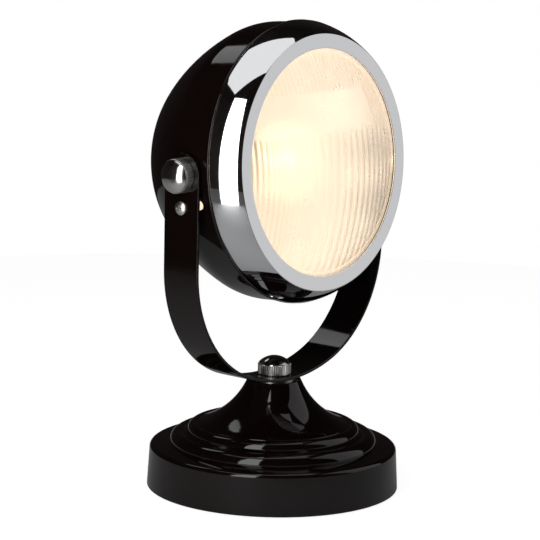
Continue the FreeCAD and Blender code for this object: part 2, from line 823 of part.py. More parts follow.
head_piece("lamp_holder", [
    (nipple_hole, "-holder_back"),
    ("holder_radius", "-holder_back"),
    ("holder_radius", "-holder_front"),
    ("holder_bore", "-holder_front"),
    ("holder_bore", "-holder_floor"),
    (nipple_hole, "-holder_floor"),
])
head_piece("holder_sleeve", [
    ("sleeve_flange_bore", "-sleeve_back"),
    ("sleeve_radius", "-sleeve_back"),
    ("sleeve_radius", "-sleeve_front"),
    ("sleeve_radius - sleeve_wall", "-sleeve_front"),
    ("sleeve_radius - sleeve_wall", "-sleeve_back + sleeve_wall"),
    ("sleeve_flange_bore", "-sleeve_back + sleeve_wall"),
])
tip_face = "-insulator_bottom - tip_height"
plate_face = "-holder_floor + contact_plate"
head_piece("holder_contact", [
    ("0", "-holder_floor"),
    ("contact_radius", "-holder_floor"),
    ("contact_radius", plate_face),
    ("contact_pin_radius", plate_face),
    ("contact_pin_radius", f"{tip_face} - contact_gap"),
    ("0", f"{tip_face} - contact_gap"),
])
terminal_screws = new_piece("terminal_screws")
turned_ring(terminal_screws, "PartDesign::Revolution", "terminal_pitch / 2",
            block_outline("0", "terminal_radius", "-holder_back - terminal_height", "-holder_back"),
            "terminal_count")
aim_forward(terminal_screws)

head_piece("holder_nipple", block_outline("nipple_bore", "nipple_radius", nipple_end, "-nipple_front"))
washer_front = f"{shell_inside} + nipple_washer_thickness"
head_piece("nipple_washer", block_outline(nipple_hole, "nipple_washer_radius", shell_inside, washer_front))
aim_forward(hex_nut("nipple_nut", "nipple_nut_flats", nipple_hole, washer_front, "nipple_nut_height"))

gland_step = f"{nipple_end} - nipple_end_gap"
gland_end = f"{shell_back} - gland_length"
cap_end = f"{gland_end} - gland_cap_length"
head_piece("cord_gland", [
    (nipple_hole, shell_back),
    (nipple_hole, gland_step),
    ("gland_bore", gland_step),
    ("gland_bore", gland_end),
    ("gland_neck_radius", gland_end),
    ("gland_radius", f"{shell_back} - gland_shoulder"),
    ("gland_radius", shell_back),
])
head_piece("gland_cap", [
    ("gland_bore", gland_end),
    ("gland_bore", cap_end),
    ("gland_cap_radius - gland_cap_round", cap_end),
    ("gland_cap_radius", f"{cap_end} + gland_cap_round", "gland_cap_round", 1),
    ("gland_cap_radius", gland_end),
])

# Bulb: blown globe on a screw cap, with its insulator, tip contact, stem and filament.

bulb_centre = "(bulb_tip - bulb_radius)"
neck_inner = "bulb_neck_radius - bulb_wall"


def waist(radius):
    """Where a sphere of this radius about the bulb's centre runs into the neck."""
    return (f"({radius}) * sin(bulb_waist_turn)", f"{bulb_centre} - ({radius}) * cos(bulb_waist_turn)")


head_piece("bulb_glass", [
    (neck_inner, "-bulb_neck_end"),
    ("bulb_neck_radius", "-bulb_neck_end"),
    ("bulb_neck_radius", "-bulb_neck_top"),
    waist("bulb_radius"),
    ("0", "bulb_tip", "bulb_radius", 1),
    ("0", "bulb_tip - bulb_wall"),
    (*waist("bulb_radius - bulb_wall"), "bulb_radius - bulb_wall", -1),
    (neck_inner, "-bulb_neck_top + bulb_wall / 2"),
])
head_piece("bulb_cap", [
    ("cap_radius - cap_wall", "-cap_top"),
    ("cap_radius - cap_wall", "-cap_bottom + cap_wall"),
    ("cap_mouth", "-cap_bottom - cap_cone + cap_wall"),
    ("cap_mouth", "-cap_bottom - cap_cone"),
    ("cap_radius", "-cap_bottom"),
    ("cap_radius", "-cap_top"),
])
head_piece("bulb_insulator", block_outline("tip_pin_radius + running_gap", "cap_mouth - insulator_gap",
                                            "-insulator_bottom", "-insulator_top"))
head_piece("bulb_contact", [
    ("0", tip_face),
    ("tip_radius", tip_face),
    ("tip_radius", "-insulator_bottom"),
    ("tip_pin_radius", "-insulator_bottom"),
    ("tip_pin_radius", "-insulator_top"),
    ("0", "-insulator_top"),
])
head_piece("bulb_stem", [
    ("0", "-bulb_neck_end"),
    (f"{neck_inner} - face_gap", "-bulb_neck_end"),
    (f"{neck_inner} - face_gap", "-bulb_neck_end + bulb_wall"),
    ("stem_radius", "-bulb_neck_top"),
    ("stem_radius", "-stem_top"),
    ("0", "-stem_top"),
])


def filament_loop(inset):
    """One line of the filament's frame: narrow at the stem, wide at the front."""
    foot, half_width = f"filament_foot - {inset}", f"filament_half_span - {inset}"
    return [
        (f"-({foot})", f"-stem_top + {inset}"),
        (foot, f"-stem_top + {inset}"),
        (half_width, f"filament_front - {inset}"),
        (f"-({half_width})", f"filament_front - {inset}"),
    ]


bulb_filament = new_piece("bulb_filament")
sketch = new_sketch(bulb_filament, "XZ_Plane")
draw_outline(sketch, filament_loop("0"))
draw_outline(sketch, filament_loop("filament_wire"))
pad(bulb_filament, sketch, "filament_wire", both_ways=True)
aim_forward(bulb_filament)

# Everything is checked before any piece is written.

doc.recompute()
failed = [thing.Name for thing in doc.Objects if {"Invalid", "Error"} & set(thing.State)]
failed += [piece.Label for piece in pieces if piece.Shape.isNull() or not piece.Shape.isValid()]
if failed:
    raise ValueError(f"these failed: {failed}")

os.makedirs("parts", exist_ok=True)
for piece in pieces:
    piece.Shape.exportStep(f"parts/{piece.Label}.step")
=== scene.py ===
import json
import math

import bmesh
import bpy
from mathutils import Matrix, Vector


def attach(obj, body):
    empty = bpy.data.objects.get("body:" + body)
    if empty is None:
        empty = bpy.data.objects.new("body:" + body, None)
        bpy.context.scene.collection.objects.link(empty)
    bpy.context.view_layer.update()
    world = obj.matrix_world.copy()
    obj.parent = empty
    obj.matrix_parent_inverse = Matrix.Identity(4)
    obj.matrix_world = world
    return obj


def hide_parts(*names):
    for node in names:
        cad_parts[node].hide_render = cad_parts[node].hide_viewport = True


# Tabletop searchlight lamp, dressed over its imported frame. The sections follow the lamp as it is put
# together: base, yoke, clamp knobs, head, lamp holder, bulb, bezel and lens, and last the studio.

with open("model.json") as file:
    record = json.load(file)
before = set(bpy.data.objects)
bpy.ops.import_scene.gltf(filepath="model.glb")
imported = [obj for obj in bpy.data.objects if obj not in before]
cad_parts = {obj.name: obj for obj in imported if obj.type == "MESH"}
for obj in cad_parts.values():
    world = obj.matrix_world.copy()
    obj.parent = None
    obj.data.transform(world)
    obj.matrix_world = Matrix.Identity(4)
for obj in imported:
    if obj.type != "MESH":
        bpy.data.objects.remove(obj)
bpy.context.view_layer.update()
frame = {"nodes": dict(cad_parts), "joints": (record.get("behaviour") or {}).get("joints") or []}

# Base shell. One disc of sheet steel, spun over a former to a rim, a land, two beads and a neck that
# flares down like a trumpet, then stove-enamelled gloss black.

mm = 0.001
base_radius, base_lift, base_wall = 75.0, 0.8, 1.2
rim_radius, rim_height, rim_round = 73.7, 23.2, 2.5
bead_foot = (61.8, 27.2)
bead_top, bead_round = (54.2, 33.0), 6.0
groove = (51.2, 34.3)
small_bead_top, small_bead_round = (45.0, 38.1), 4.4
flare_start, flare_round = (45.0, 38.5), 48.1
neck_radius, neck_height = 15.9, 65.4
stud_hole = 3.06


def outline(corners, step=6.0):
    """The corners with their arcs filled in, a point every step degrees or so.

    A corner is (across, along), or (across, along, radius, turn) where an arc of that radius ends.
    The arc turns left for +1 and right for -1.
    """
    points = []
    for number, corner in enumerate(corners):
        end = Vector(corner[:2])
        if len(corner) == 4:
            start = Vector(corners[number - 1][:2])
            radius, turn = corner[2:]
            chord = end - start
            square = Vector((-chord.y, chord.x)).normalized() * turn
            depth = math.sqrt(max(radius ** 2 - (chord.length / 2) ** 2, 0))
            centre = (start + end) / 2 + square * depth
            sweep = 2 * math.asin(min(chord.length / 2 / radius, 1)) * turn
            count = max(2, round(abs(math.degrees(sweep)) / step))
            for part in range(1, count):
                points.append(centre + Matrix.Rotation(sweep * part / count, 2) @ (start - centre))
        points.append(end)
    return [(point.x * mm, point.y * mm) for point in points]


def turned(corners, around=180, step=6.0):
    """A bmesh of an outline of (radius, height) in millimetres, turned about the Z axis."""
    points = outline(corners, step)
    bm = bmesh.new()
    verts = [bm.verts.new((across, 0, along)) for across, along in points]
    edges = [bm.edges.new(pair) for pair in zip(verts, verts[1:] + verts[:1])]
    bmesh.ops.spin(bm, geom=verts + edges, cent=(0, 0, 0), axis=(0, 0, 1), dvec=(0, 0, 0),
                   angle=math.tau, steps=around, use_merge=True, use_duplicate=False)
    bmesh.ops.remove_doubles(bm, verts=bm.verts, dist=0.001 * mm)
    bmesh.ops.recalc_face_normals(bm, faces=bm.faces)
    return bm


def finished(bm, name, body, nodes, material, place=Matrix(), broken_edge=0.25, crease=35.0):
    """Puts a bmesh in its place as a piece: smooth, its hard edges broken, riding on its body."""
    bmesh.ops.transform(bm, matrix=place, verts=bm.verts)
    if place.to_3x3().determinant() < 0:
        bmesh.ops.reverse_faces(bm, faces=bm.faces)
    mesh = bpy.data.meshes.new(name)
    bm.to_mesh(mesh)
    bm.free()
    mesh.shade_smooth()
    mesh.set_sharp_from_angle(angle=math.radians(crease))
    piece = bpy.data.objects.new(name, mesh)
    bpy.context.scene.collection.objects.link(piece)
    mesh.materials.append(material)
    if broken_edge:
        bevel = piece.modifiers.new("Broken edges", "BEVEL")
        bevel.width = broken_edge * mm
        bevel.segments = 3
        bevel.limit_method = "ANGLE"
        bevel.angle_limit = math.radians(crease)
        bevel.harden_normals = True
        bevel.use_clamp_overlap = True
    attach(piece, body)
    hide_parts(*nodes)
    return piece


def new_finish(name, colour, metallic, roughness):
    """A material and its shader, with the colour, metal and roughness set on the shader itself."""
    material = bpy.data.materials.new(name)
    material.use_nodes = True
    shader = material.node_tree.nodes["Principled BSDF"]
    shader.inputs["Base Color"].default_value = (*colour, 1)
    shader.inputs["Metallic"].default_value = metallic
    shader.inputs["Roughness"].default_value = roughness
    return material, shader


def noise(material, size, detail=3.0):
    """Noise over the piece, its grains about the size in millimetres."""
    nodes, links = material.node_tree.nodes, material.node_tree.links
    where = nodes.new("ShaderNodeTexCoord")
    grain = nodes.new("ShaderNodeTexNoise")
    grain.inputs["Scale"].default_value = 1 / (size * mm)
    grain.inputs["Detail"].default_value = detail
    links.new(where.outputs["Object"], grain.inputs["Vector"])
    return grain.outputs["Fac"]


def spread(material, factor, socket, low, high, start=0.3, end=0.7):
    """Sends a factor to a socket, stretched between a low and a high value."""
    nodes, links = material.node_tree.nodes, material.node_tree.links
    ramp = nodes.new("ShaderNodeMapRange")
    ramp.inputs["From Min"].default_value = start
    ramp.inputs["From Max"].default_value = end
    ramp.inputs["To Min"].default_value = low
    ramp.inputs["To Max"].default_value = high
    links.new(factor, ramp.inputs["Value"])
    links.new(ramp.outputs["Result"], socket)


def relief(material, shader, factor, height):
    """Lifts the surface by a factor, its height in millimetres."""
    nodes, links = material.node_tree.nodes, material.node_tree.links
    bump = nodes.new("ShaderNodeBump")
    bump.inputs["Distance"].default_value = height * mm
    bump.inputs["Strength"].default_value = 1.0
    links.new(factor, bump.inputs["Height"])
    links.new(bump.outputs["Normal"], shader.inputs["Normal"])


def mixed_colour(material, shader, factor, first, second, start=0.35, end=0.65):
    """Colours the surface between two colours by a factor."""
    nodes, links = material.node_tree.nodes, material.node_tree.links
    ramp = nodes.new("ShaderNodeValToRGB")
    ramp.color_ramp.elements[0].position = start
    ramp.color_ramp.elements[0].color = (*first, 1)
    ramp.color_ramp.elements[1].position = end
    ramp.color_ramp.elements[1].color = (*second, 1)
    links.new(factor, ramp.inputs["Fac"])
    links.new(ramp.outputs["Color"], shader.inputs["Base Color"])


enamel, enamel_shader = new_finish("black_enamel", (0.004, 0.0024, 0.0026), 0.0, 0.06)
spread(enamel, noise(enamel, 18.0), enamel_shader.inputs["Roughness"], 0.045, 0.085)
relief(enamel, enamel_shader, noise(enamel, 2.2, detail=1.0), 0.0006)
mixed_colour(enamel, enamel_shader, noise(enamel, 40.0), (0.0055, 0.0024, 0.002), (0.007, 0.0036, 0.003))

base_inside = base_radius - base_wall
base_shell = turned([
    (base_radius, base_lift),
    (rim_radius, rim_height),
    (rim_radius - rim_round, rim_height + rim_round, rim_round, 1),
    bead_foot,
    (*bead_top, bead_round, 1),
    groove,
    (*small_bead_top, small_bead_round, 1),
    flare_start,
    (neck_radius, neck_height, flare_round, -1),
    (stud_hole, neck_height),
    (stud_hole, neck_height - base_wall),
    (neck_radius - base_wall, neck_height - base_wall),
    (small_bead_top[0] - base_wall, small_bead_top[1] - base_wall, flare_round, 1),
    (bead_top[0] - base_wall, bead_top[1] - base_wall),
    (bead_foot[0] - base_wall, bead_foot[1] - base_wall),
    (rim_radius - rim_round - base_wall, rim_height + rim_round - base_wall),
    (rim_radius - base_wall, rim_height - base_wall),
    (base_inside, base_lift),
], around=256, step=3.0)
finished(base_shell, "spun_base_shell", "base", ["base_shell"], enamel, crease=20.0)

# Underside. A closing plate of zinc-plated steel, screwed into the weight by three countersunk screws,
# and under it a disc of black felt, so that the lamp doesn't mark the table.

zinc, zinc_shader = new_finish("zinc_plate", (0.56, 0.55, 0.52), 1.0, 0.3)
spread(zinc, noise(zinc, 3.0), zinc_shader.inputs["Roughness"], 0.22, 0.42)
mixed_colour(zinc, zinc_shader, noise(zinc, 7.0), (0.5, 0.5, 0.49), (0.6, 0.59, 0.54))
relief(zinc, zinc_shader, noise(zinc, 0.6), 0.004)

felt, felt_shader = new_finish("black_felt", (0.012, 0.011, 0.011), 0.0, 0.95)
felt_shader.inputs["Sheen Weight"].default_value = 0.4
mixed_colour(felt, felt_shader, noise(felt, 1.2, detail=6.0), (0.008, 0.007, 0.007), (0.03, 0.028, 0.028))
relief(felt, felt_shader, noise(felt, 0.5, detail=6.0), 0.25)


def dress(material, *nodes):
    """Gives CAD nodes their material."""
    for node in nodes:
        mesh = frame["nodes"][node].data
        mesh.materials.clear()
        mesh.materials.append(material)


dress(felt, "foot_pad")
dress(zinc, "base_plate", "plate_screws")

# Weight and pan bolt. A grey-iron casting fills the rim, and one bolt through it carries a washer, a
# nut and the brass bush that props the neck from inside. Its top end is the stud that the yoke turns on.

iron, iron_shader = new_finish("cast_iron", (0.05, 0.048, 0.046), 0.6, 0.7)
mixed_colour(iron, iron_shader, noise(iron, 4.0, detail=5.0), (0.03, 0.029, 0.028), (0.09, 0.085, 0.08))
relief(iron, iron_shader, noise(iron, 1.5, detail=5.0), 0.3)

brass, brass_shader = new_finish("plain_brass", (0.7, 0.5, 0.22), 1.0, 0.25)
mixed_colour(brass, brass_shader, noise(brass, 5.0), (0.66, 0.46, 0.19), (0.75, 0.56, 0.27))
spread(brass, noise(brass, 2.0), brass_shader.inputs["Roughness"], 0.18, 0.38)

dress(iron, "base_weight")
dress(zinc, "base_bolt", "bolt_washer", "bolt_nut", "neck_washer")
dress(brass, "neck_bush")

# Yoke. One strip of steel, its ends rounded, bent cold to two upright arms over a shallow belly, and
# drilled for the bolt, the tilt studs and the stop screw. Enamelled with the base.

tilt_height = next(joint["pos_m"][2] for joint in frame["joints"] if joint["name"] == "head_tilt") / mm
half_span, strip_thickness, strip_width, strip_round = 84.5, 1.8, 25.4, 0.4
bend_radius, bend_turn = 71.5, math.radians(71.0)
yoke_floor = 67.1
stop_drop, stop_hole = 18.7, 2.06
hole_steps, end_steps, bend_steps, belly_steps = 32, 40, 36, 12
belly_radius = bend_radius + (half_span - bend_radius) / math.cos(bend_turn)
bend_height = yoke_floor + bend_radius * math.sin(bend_turn) + belly_radius * (1 - math.sin(bend_turn))


def closed_line(bm, points):
    """The corners and edges of a closed line through points (across, height) on the left arm."""
    verts = [bm.verts.new((-half_span * mm, across * mm, height * mm)) for across, height in points]
    return verts, [bm.edges.new(pair) for pair in zip(verts, verts[1:] + verts[:1])]


def arc_points(radius, height, sweep, steps):
    """Points on an arc about the arm's middle line at a height, both its ends included."""
    angles = [sweep * part / steps for part in range(steps + 1)]
    return [(radius * math.cos(angle), height + radius * math.sin(angle)) for angle in angles]


def yoke_arm(bm, holes):
    """One flat arm with its round end and holes. Gives the ends of the edge where its bend begins."""
    half_width = strip_width / 2
    round_end = arc_points(half_width, tilt_height, math.pi, end_steps)
    verts, edges = closed_line(bm, [(half_width, bend_height), *round_end, (-half_width, bend_height)])
    for radius, height in holes:
        edges += closed_line(bm, arc_points(radius, height, math.tau, hole_steps)[:-1])[1]
    bmesh.ops.triangle_fill(bm, use_beauty=True, use_dissolve=False, edges=edges)
    return [verts[0], verts[-1]]


yoke = bmesh.new()
root = yoke_arm(yoke, [(stud_hole, tilt_height), (stop_hole, tilt_height - stop_drop)])
bend_edge = [edge for edge in root[0].link_edges if edge.other_vert(root[0]) == root[1]]
bend_centre = Vector((-(half_span - bend_radius), 0, bend_height)) * mm
belly_centre = Vector((0, 0, yoke_floor + belly_radius)) * mm
bend = bmesh.ops.spin(yoke, geom=root + bend_edge, cent=bend_centre, axis=(0, -1, 0), dvec=(0, 0, 0),
                      angle=bend_turn, steps=bend_steps, use_merge=False, use_duplicate=False)
bmesh.ops.spin(yoke, geom=bend["geom_last"], cent=belly_centre, axis=(0, -1, 0), dvec=(0, 0, 0),
               angle=math.pi / 2 - bend_turn, steps=belly_steps, use_merge=False, use_duplicate=False)
bmesh.ops.mirror(yoke, geom=yoke.verts[:] + yoke.edges[:] + yoke.faces[:], axis="X", merge_dist=0.01 * mm)
bmesh.ops.remove_doubles(yoke, verts=yoke.verts, dist=0.01 * mm)
bmesh.ops.recalc_face_normals(yoke, faces=yoke.faces)
yoke_piece = finished(yoke, "bent_yoke", "yoke", ["yoke"], enamel, broken_edge=0)
thickness = yoke_piece.modifiers.new("Strip thickness", "SOLIDIFY")
thickness.thickness = strip_thickness * mm
thickness.offset = 0.0
thickness.use_even_offset = True
rounded_edges = yoke_piece.modifiers.new("Rounded edges", "BEVEL")
rounded_edges.width = strip_round * mm
rounded_edges.segments = 3
rounded_edges.limit_method = "ANGLE"
rounded_edges.angle_limit = math.radians(50)
rounded_edges.harden_normals = True

# Stop screw. A round-headed steel screw with a cross recess, through the left arm only. Its tip rides
# in the head's arc slot and stops the tilt at each end.

arm_face = half_span + strip_thickness / 2


def beside(side, out, height):
    """A frame on the tilt axis, its Z pointing out of one arm."""
    return (Matrix.Translation(Vector((side * out, 0, height)) * mm)
            @ Matrix.Rotation(math.radians(90) * side, 4, "Y"))


stop_tip, stop_radius, stop_head, stop_edge, stop_height = 75.5, 2.0, 3.9, 0.8, 2.4
stop_dome = (stop_head ** 2 + (stop_height - stop_edge) ** 2) / (2 * (stop_height - stop_edge))
stop_screw = turned([
    (0, stop_tip - arm_face),
    (stop_radius, stop_tip - arm_face),
    (stop_radius, 0),
    (stop_head, 0),
    (stop_head, stop_edge),
    (0, stop_height, stop_dome, 1),
], around=48, step=5.0)

screw_steel, screw_shader = new_finish("bright_screw_steel", (0.8, 0.78, 0.76), 1.0, 0.3)
spread(screw_steel, noise(screw_steel, 2.0), screw_shader.inputs["Roughness"], 0.24, 0.4)
mixed_colour(screw_steel, screw_shader, noise(screw_steel, 3.0), (0.74, 0.72, 0.7), (0.86, 0.84, 0.82))

recess_width, recess_length, recess_depth = 0.8, 4.2, 1.3


def pushed_through(bm, corners, travel):
    """A solid made by pushing the face between the corners along the travel."""
    face = bm.faces.new([bm.verts.new(corner) for corner in corners])
    pushed = bmesh.ops.extrude_face_region(bm, geom=[face])
    bmesh.ops.translate(bm, vec=travel,
                        verts=[part for part in pushed["geom"] if isinstance(part, bmesh.types.BMVert)])
    bmesh.ops.recalc_face_normals(bm, faces=bm.faces)
    return bm


def recess_cutter():
    """The cross that is sunk into the screw's head."""
    far, near = recess_length / 2, recess_width / 2
    quarter = [(far, near), (near, near), (near, far)]
    half = quarter + [(-across, along) for across, along in quarter[::-1]]
    cross = half + [(-across, -along) for across, along in half]
    floor = stop_height - recess_depth
    return pushed_through(bmesh.new(), [Vector((*corner, floor)) * mm for corner in cross],
                          (0, 0, recess_depth * 2 * mm))


def cut_with(bm, cutter):
    """The bmesh with the cutter's shape taken out of it."""
    pieces = []
    for label, source in (("Blank", bm), ("Cutter", cutter)):
        mesh = bpy.data.meshes.new(label)
        source.to_mesh(mesh)
        source.free()
        pieces.append(bpy.data.objects.new(label, mesh))
        bpy.context.scene.collection.objects.link(pieces[-1])
    blank, tool = pieces
    cut = blank.modifiers.new("Cut", "BOOLEAN")
    cut.object = tool
    cut.operation = "DIFFERENCE"
    cut.solver = "EXACT"
    shaped = bmesh.new()
    shaped.from_object(blank, bpy.context.evaluated_depsgraph_get())
    for piece in pieces:
        bpy.data.objects.remove(piece)
    return shaped


finished(cut_with(stop_screw, recess_cutter()), "stop_screw_cross_head", "yoke", ["stop_screw"],
         screw_steel, beside(-1, arm_face, tilt_height - stop_drop), broken_edge=0)

# Clamp knobs and washers. Three alike, turned from brass bar: a straight-knurled grip under a polished
# low dome, recessed below for the washer, and nickel-plated.

washer_gap, washer_thickness, washer_radius = 0.05, 0.8, 8.4
knob_radius, knob_grip, knob_edge, knob_dome = 9.9, 6.2, 0.5, 4.1
knob_lift, knob_bore_depth, recess_gap = 0.15, 7.0, 0.2
belly_lift, dome_groove = 0.4, 0.12
knurl_count, knurl_depth, knurl_steps = 44, 0.45, 4


def knob():
    """A turned knob, its grip cut with straight knurls."""
    grip_top, dome_edge = knob_lift + knob_grip, knob_radius - knob_edge
    dome = (dome_edge ** 2 + knob_dome ** 2) / (2 * knob_dome)
    recess = washer_gap + washer_thickness
    bm = turned([
        (stud_hole, recess),
        (washer_radius + recess_gap, recess),
        (washer_radius + recess_gap, knob_lift),
        (knob_radius - knurl_depth, knob_lift),
        (knob_radius, knob_lift + knurl_depth),
        (knob_radius, grip_top - knurl_depth),
        (knob_radius - knurl_depth, grip_top),
        (dome_edge, grip_top + dome_groove),
        (dome_edge, grip_top + knob_edge),
        (0, grip_top + knob_edge + knob_dome, dome, 1),
        (0, knob_bore_depth),
        (stud_hole, knob_bore_depth),
    ], around=knurl_count * knurl_steps, step=3.0)
    crest = (knob_radius - 0.01) * mm
    for vert in bm.verts:
        around = math.atan2(vert.co.y, vert.co.x) / math.tau * knurl_count * knurl_steps
        if vert.co.xy.length > crest and round(around) % knurl_steps >= knurl_steps / 2:
            vert.co.xy *= 1 - knurl_depth / knob_radius
    for face in bm.faces:
        middle = face.calc_center_median()
        if middle.xy.length > (knob_radius - knurl_depth - 0.02) * mm and middle.z < grip_top * mm:
            face.material_index = 1
    return bm


nickel, nickel_shader = new_finish("bright_nickel", (0.72, 0.7, 0.68), 1.0, 0.14)
spread(nickel, noise(nickel, 4.0), nickel_shader.inputs["Roughness"], 0.1, 0.2)
mixed_colour(nickel, nickel_shader, noise(nickel, 9.0), (0.66, 0.64, 0.62), (0.76, 0.74, 0.72))

knurls, knurls_shader = new_finish("knurled_nickel", (0.78, 0.76, 0.74), 1.0, 0.32)
spread(knurls, noise(knurls, 1.5), knurls_shader.inputs["Roughness"], 0.26, 0.42)
mixed_colour(knurls, knurls_shader, noise(knurls, 6.0), (0.72, 0.7, 0.68), (0.84, 0.82, 0.8))

yoke_seat = yoke_floor + strip_thickness / 2 + belly_lift
for name, node, place in (
        ("base_clamp_knob", "base_knob", Matrix.Translation((0, 0, yoke_seat * mm))),
        ("tilt_left_clamp_knob", "tilt_knob_left", beside(-1, arm_face, tilt_height)),
        ("tilt_right_clamp_knob", "tilt_knob_right", beside(1, arm_face, tilt_height))):
    turned_knob = finished(knob(), name, node, [node], nickel, place,
                           broken_edge=0, crease=25.0)
    turned_knob.data.materials.append(knurls)
dress(zinc, "base_knob_washer", "tilt_washer_left", "tilt_washer_right")

# Head shell. Spun steel again: a drum with a rolled bead at its mouth, a shoulder and a domed back, with
# the arc slot pressed through its left side. Black outside, white inside to throw the light forward.

head_radius, head_wall = 81.6, 1.2
mouth_depth, mouth_bead = 17.6, 1.05
shoulder_round, shoulder_turn = 33.0, math.radians(22.0)
back_round, back_turn = 132.0, math.radians(41.0)
crown_flat = 12.66
nipple_hole = 5.06
slot_radius, slot_half_width = 18.7, 2.8
slot_front, slot_rear = math.radians(23.5), math.radians(-47.1)
slot_start, slot_travel, drill_length = -90.0, 60.0, 200.0

lens_axis = Vector(next(joint["axis"] for joint in frame["joints"] if joint["name"] == "bezel_pull"))
rest_tilt = math.atan2(lens_axis.z, -lens_axis.y)
in_head = (Matrix.Translation((0, 0, tilt_height * mm))
           @ Matrix.Rotation(math.radians(90) - rest_tilt, 4, "X"))

shoulder = (head_radius - shoulder_round * (1 - math.cos(shoulder_turn)),
            -shoulder_round * math.sin(shoulder_turn))
back = (shoulder[0] - back_round * (math.cos(shoulder_turn) - math.cos(back_turn)),
        shoulder[1] - back_round * (math.sin(back_turn) - math.sin(shoulder_turn)))
crown_round = (back[0] - crown_flat) / math.cos(back_turn)
crown = (crown_flat, back[1] - crown_round * (1 - math.sin(back_turn)))
inner_radius = head_radius - head_wall

head_shell = turned([
    (nipple_hole, crown[1]),
    crown,
    (*back, crown_round, 1),
    (*shoulder, back_round, 1),
    (head_radius, 0, shoulder_round, 1),
    (head_radius, mouth_depth - mouth_bead * 2),
    (head_radius + mouth_bead, mouth_depth - mouth_bead, mouth_bead, 1),
    (head_radius, mouth_depth, mouth_bead, 1),
    (inner_radius, mouth_depth),
    (inner_radius, 0),
    (shoulder[0] - head_wall * math.cos(shoulder_turn),
     shoulder[1] + head_wall * math.sin(shoulder_turn), shoulder_round - head_wall, -1),
    (back[0] - head_wall * math.cos(back_turn),
     back[1] + head_wall * math.sin(back_turn), back_round - head_wall, -1),
    (crown[0], crown[1] + head_wall, crown_round - head_wall, -1),
    (nipple_hole, crown[1] + head_wall),
], around=256, step=2.0)


def shell_cutters():
    """The arc slot in the left side and the stud hole through both, as one solid cutter."""
    def slot_point(reach, angle, ahead=0.0):
        return (-reach * math.cos(angle) + ahead * math.sin(angle),
                reach * math.sin(angle) + ahead * math.cos(angle))
    outer, inner = slot_radius + slot_half_width, slot_radius - slot_half_width
    slot = outline([
        (*slot_point(outer, slot_front), outer, -1),
        (*slot_point(slot_radius, slot_front, slot_half_width), slot_half_width, -1),
        (*slot_point(inner, slot_front), slot_half_width, -1),
        (*slot_point(inner, slot_rear), inner, 1),
        (*slot_point(slot_radius, slot_rear, -slot_half_width), slot_half_width, -1),
        (*slot_point(outer, slot_rear), slot_half_width, -1),
    ], step=8.0)
    bm = pushed_through(bmesh.new(), [(slot_start * mm, across, along) for across, along in slot],
                        (slot_travel * mm, 0, 0))
    bmesh.ops.create_cone(bm, cap_ends=True, segments=48, radius1=stud_hole * mm, radius2=stud_hole * mm,
                          depth=drill_length * mm, matrix=Matrix.Rotation(math.radians(90), 4, "Y"))
    return bm


# The white paint inside carries a painted glow standing in for the bulb's light on it, strongest near the
# mouth and fading towards the back.
mouth_place, back_place, mouth_painted_glow, back_painted_glow = -0.02, 0.035, 0.7, 0.25

white_paint_painted_glow, white_paint_glow_shader = new_finish("white_paint_painted_glow_inside", (0.86, 0.84, 0.8), 0.0, 0.45)
white_paint_glow_shader.inputs["Emission Color"].default_value = (1.0, 0.79, 0.61, 1)
where = white_paint_painted_glow.node_tree.nodes.new("ShaderNodeTexCoord")
parts = white_paint_painted_glow.node_tree.nodes.new("ShaderNodeSeparateXYZ")
white_paint_painted_glow.node_tree.links.new(where.outputs["Object"], parts.inputs["Vector"])
# Painted glow: the paint's emission runs from strong at the mouth to weak at the back.
spread(white_paint_painted_glow, parts.outputs["Y"], white_paint_glow_shader.inputs["Emission Strength"], mouth_painted_glow, back_painted_glow,
       mouth_place, back_place)
mixed_colour(white_paint_painted_glow, white_paint_glow_shader, noise(white_paint_painted_glow, 25.0), (0.84, 0.82, 0.78), (0.88, 0.86, 0.83))
relief(white_paint_painted_glow, white_paint_glow_shader, noise(white_paint_painted_glow, 1.5), 0.02)

head_shell = cut_with(head_shell, shell_cutters())
head_shell.normal_update()
head_piece = finished(head_shell, "spun_head_shell", "head", ["head_shell"], enamel, in_head,
                      broken_edge=0, crease=28.0)
head_piece.data.materials.append(white_paint_painted_glow)
for face in head_piece.data.polygons:
    out = face.center - in_head.translation
    along = out.dot(lens_axis)
    spoke = (out - lens_axis * along).normalized()
    facing_out = face.normal.dot(spoke) - 0.3 * face.normal.dot(lens_axis)
    if facing_out < -0.05 and along < (mouth_depth - 0.01) * mm:
        face.material_index = 1

# Tilt pivots. Each side has a round spacer between drum and arm, a saddle inside the drum, and a stud
# whose head sits in the drum and whose thread takes the knob. Plated steel, all but the black spacers.

dress(enamel, "pivot_spacer_left", "pivot_spacer_right")
dress(zinc, "pivot_saddle_left", "pivot_saddle_right", "pivot_stud_left", "pivot_stud_right")

# Cord gland. A moulded collar and screwed cap at the middle of the back, where the cord would enter,
# with a ring of finger grooves round the cap.

gland_radius, gland_neck, gland_length, gland_shoulder, gland_bore = 9.0, 7.2, 13.0, 7.0, 3.6
gland_cap_radius, gland_cap_length, gland_cap_round = 8.2, 9.0, 2.0
nipple_tail, nipple_end_gap = 10.0, 0.5
shell_back = crown[1]
gland_step = shell_back - nipple_tail - nipple_end_gap
gland_end = shell_back - gland_length
cap_end = gland_end - gland_cap_length
cap_grooves, groove_depth, groove_steps, cap_lip = 24, 0.45, 6, 1.2

moulded, moulded_shader = new_finish("moulded_black", (0.012, 0.011, 0.011), 0.0, 0.35)
spread(moulded, noise(moulded, 6.0), moulded_shader.inputs["Roughness"], 0.28, 0.45)
relief(moulded, moulded_shader, noise(moulded, 0.4), 0.01)
mixed_colour(moulded, moulded_shader, noise(moulded, 12.0), (0.01, 0.009, 0.009), (0.016, 0.015, 0.015))

finished(turned([
    (nipple_hole, shell_back),
    (nipple_hole, gland_step),
    (gland_bore, gland_step),
    (gland_bore, gland_end),
    (gland_neck, gland_end),
    (gland_radius, shell_back - gland_shoulder),
    (gland_radius, shell_back),
], around=96), "cord_gland_collar", "head", ["cord_gland"], moulded, in_head)

